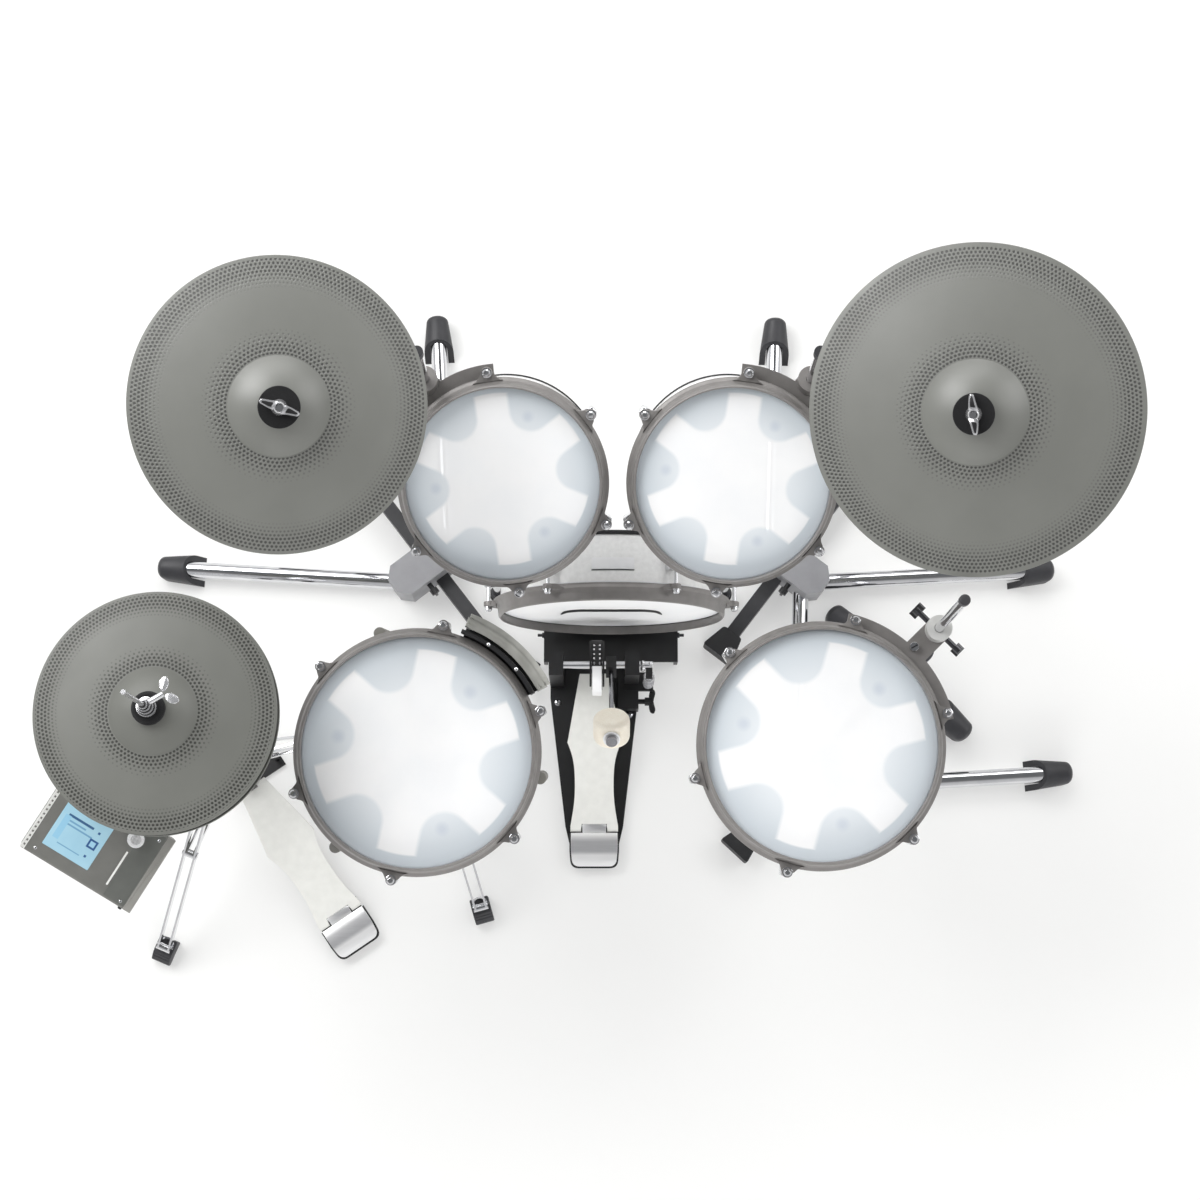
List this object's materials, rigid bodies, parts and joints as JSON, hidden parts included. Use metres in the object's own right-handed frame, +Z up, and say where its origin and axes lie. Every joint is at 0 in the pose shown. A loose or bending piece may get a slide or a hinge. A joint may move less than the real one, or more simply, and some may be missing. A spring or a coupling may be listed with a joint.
{
  "type": "electronic_drum_kit",
  "caption": "Electronic drum kit with mesh-head drums, dimpled grey cymbals, a hi-hat on a pedal stand, a kick drum with pedal, chrome stands and a small sound module.",
  "frame": {"origin": "on the floor under the middle of the kit", "axes": "+X to the player's right, +Y away from the player, +Z up"},
  "size_m": [1.4964, 1.0337, 1.0886],
  "materials": {
    "white_shell": "fine-grained white wrap",
    "taupe_hoop": "satin taupe-grey die cast",
    "mesh_head": "white two-ply mesh",
    "bright_chrome": "polished chrome plate",
    "sensor_grey": "matt blue-grey plastic",
    "dark_alloy": "dark grey powder coat",
    "black_rubber": "matt black rubber",
    "black_steel": "black powder coat",
    "cymbal_grey": "matt olive-grey dimpled skin",
    "black_felt": "black felt",
    "pale_plastic": "matt pale grey plastic",
    "white_board": "white painted alloy",
    "grey_heel": "satin grey alloy",
    "cream_felt": "cream pressed felt",
    "spring_steel": "plain drawn wire",
    "module_grey": "matt dark grey plastic",
    "screen_glass": "lit pale blue display",
    "knob_metal": "turned bright alloy"
  },
  "bodies": {
    "left_tom": {"left_tom_shell": "white_shell", "left_tom_hoop": "taupe_hoop", "left_tom_head": "mesh_head", "left_tom_lugs": "bright_chrome", "left_tom_sensor_plate": "sensor_grey", "left_tom_bracket": "taupe_hoop"},
    "right_tom": {"right_tom_shell": "white_shell", "right_tom_hoop": "taupe_hoop", "right_tom_head": "mesh_head", "right_tom_lugs": "bright_chrome", "right_tom_sensor_plate": "sensor_grey", "right_tom_bracket": "taupe_hoop"},
    "floor_tom": {"floor_tom_shell": "white_shell", "floor_tom_hoop": "taupe_hoop", "floor_tom_head": "mesh_head", "floor_tom_lugs": "bright_chrome", "floor_tom_sensor_plate": "sensor_grey", "floor_tom_bracket": "taupe_hoop"},
    "snare": {"snare_shell": "white_shell", "snare_hoop": "taupe_hoop", "snare_head": "mesh_head", "snare_lugs": "bright_chrome", "snare_sensor_plate": "sensor_grey", "snare_guard": "pale_plastic", "snare_basket": "dark_alloy"},
    "crash": {"crash_cymbal": "cymbal_grey"},
    "ride": {"ride_cymbal": "cymbal_grey"},
    "kick_board": {"pedal_footboard": "white_board"},
    "beater": {"pedal_axle": "bright_chrome", "beater_shaft": "bright_chrome", "beater_head": "cream_felt", "pedal_chain": "black_rubber"},
    "hat_board": {"hihat_footboard": "white_board"},
    "hat_top": {"hihat_top_cymbal": "cymbal_grey", "hihat_clutch": "bright_chrome", "hihat_pull_rod": "bright_chrome"},
    "knob": {"module_knob": "knob_metal"},
    "stands": {"base_bars": "dark_alloy", "boom_arms": "bright_chrome", "cymbal_felts": "black_felt", "cymbal_wing_nuts": "bright_chrome", "heel_plates": "grey_heel", "hihat_bottom_cymbal": "cymbal_grey", "hihat_stand_tube": "bright_chrome", "kick_frame": "black_steel", "kick_head": "mesh_head", "kick_hoop": "taupe_hoop", "kick_lugs": "bright_chrome", "kick_shell": "white_shell", "kick_spurs": "bright_chrome", "module_case": "module_grey", "module_screen": "screen_glass", "pedal_base": "black_steel", "pedal_spring": "spring_steel", "rubber_feet": "black_rubber", "snare_stand_tube": "bright_chrome", "stand_clamps": "dark_alloy", "stand_tubes": "bright_chrome", "tripod_legs": "bright_chrome", "wing_screws": "black_steel"}
  },
  "joints": [
    {"name": "left_tom_tilt", "type": "hinge", "parent": "stands", "child": "left_tom", "pos_m": [-0.37362, 0.22447, 0.69], "axis": [0.9988, -0.0497, 0], "range_deg": [-12, 12]},
    {"name": "right_tom_tilt", "type": "hinge", "parent": "stands", "child": "right_tom", "pos_m": [0.41023, 0.2246, 0.69], "axis": [0.9984, 0.0572, 0], "range_deg": [-12, 12]},
    {"name": "floor_tom_height", "type": "slide", "parent": "stands", "child": "floor_tom", "axis": [0, 0, 1], "range_m": [-0.12, 0.1]},
    {"name": "snare_tilt", "type": "hinge", "parent": "stands", "child": "snare", "pos_m": [-0.236, -0.23149, 0.45122], "axis": [1, 0, 0], "range_deg": [-8, 10]},
    {"name": "crash_rock", "type": "hinge", "parent": "stands", "child": "crash", "pos_m": [-0.37169, 0.11182, 1.0475], "axis": [0.8746, 0.4848, 0], "range_deg": [-8, 8], "stiffness_Nm_per_rad": 2},
    {"name": "ride_rock", "type": "hinge", "parent": "stands", "child": "ride", "pos_m": [0.45051, 0.11745, 0.99154], "axis": [0.829, -0.5592, 0], "range_deg": [-8, 8], "stiffness_Nm_per_rad": 3},
    {"name": "kick_pedal_press", "type": "hinge", "parent": "stands", "child": "kick_board", "pos_m": [-0.005, -0.306, 0.02], "axis": [-1, 0, 0], "range_deg": [0, 8], "stiffness_Nm_per_rad": 10, "springref_deg": -11.46},
    {"name": "beater_swing", "type": "hinge", "parent": "stands", "child": "beater", "pos_m": [-0.005, -0.068, 0.13], "axis": [-1, 0, 0], "range_deg": [0, 54], "deforming": ["pedal_spring", "pedal_chain"]},
    {"name": "hihat_pedal_press", "type": "hinge", "parent": "stands", "child": "hat_board", "pos_m": [-0.40098, -0.44094, 0.02], "axis": [-0.829, -0.5592, 0], "range_deg": [0, 4.5], "stiffness_Nm_per_rad": 20, "springref_deg": -14.32},
    {"name": "hihat_close", "type": "slide", "parent": "stands", "child": "hat_top", "axis": [0, 0, -1], "range_m": [0, 0.01791]},
    {"name": "module_knob_turn", "type": "hinge", "parent": "stands", "child": "knob", "pos_m": [-0.60051, -0.36654, 0.64183], "axis": [0.2202, -0.136, 0.9659], "continuous": true}
  ],
  "couplings": [
    {"joint": "beater_swing", "follows": "kick_pedal_press", "ratio": 6.75},
    {"joint": "hihat_close", "follows": "hihat_pedal_press", "m_per_rad": 0.228}
  ]
}
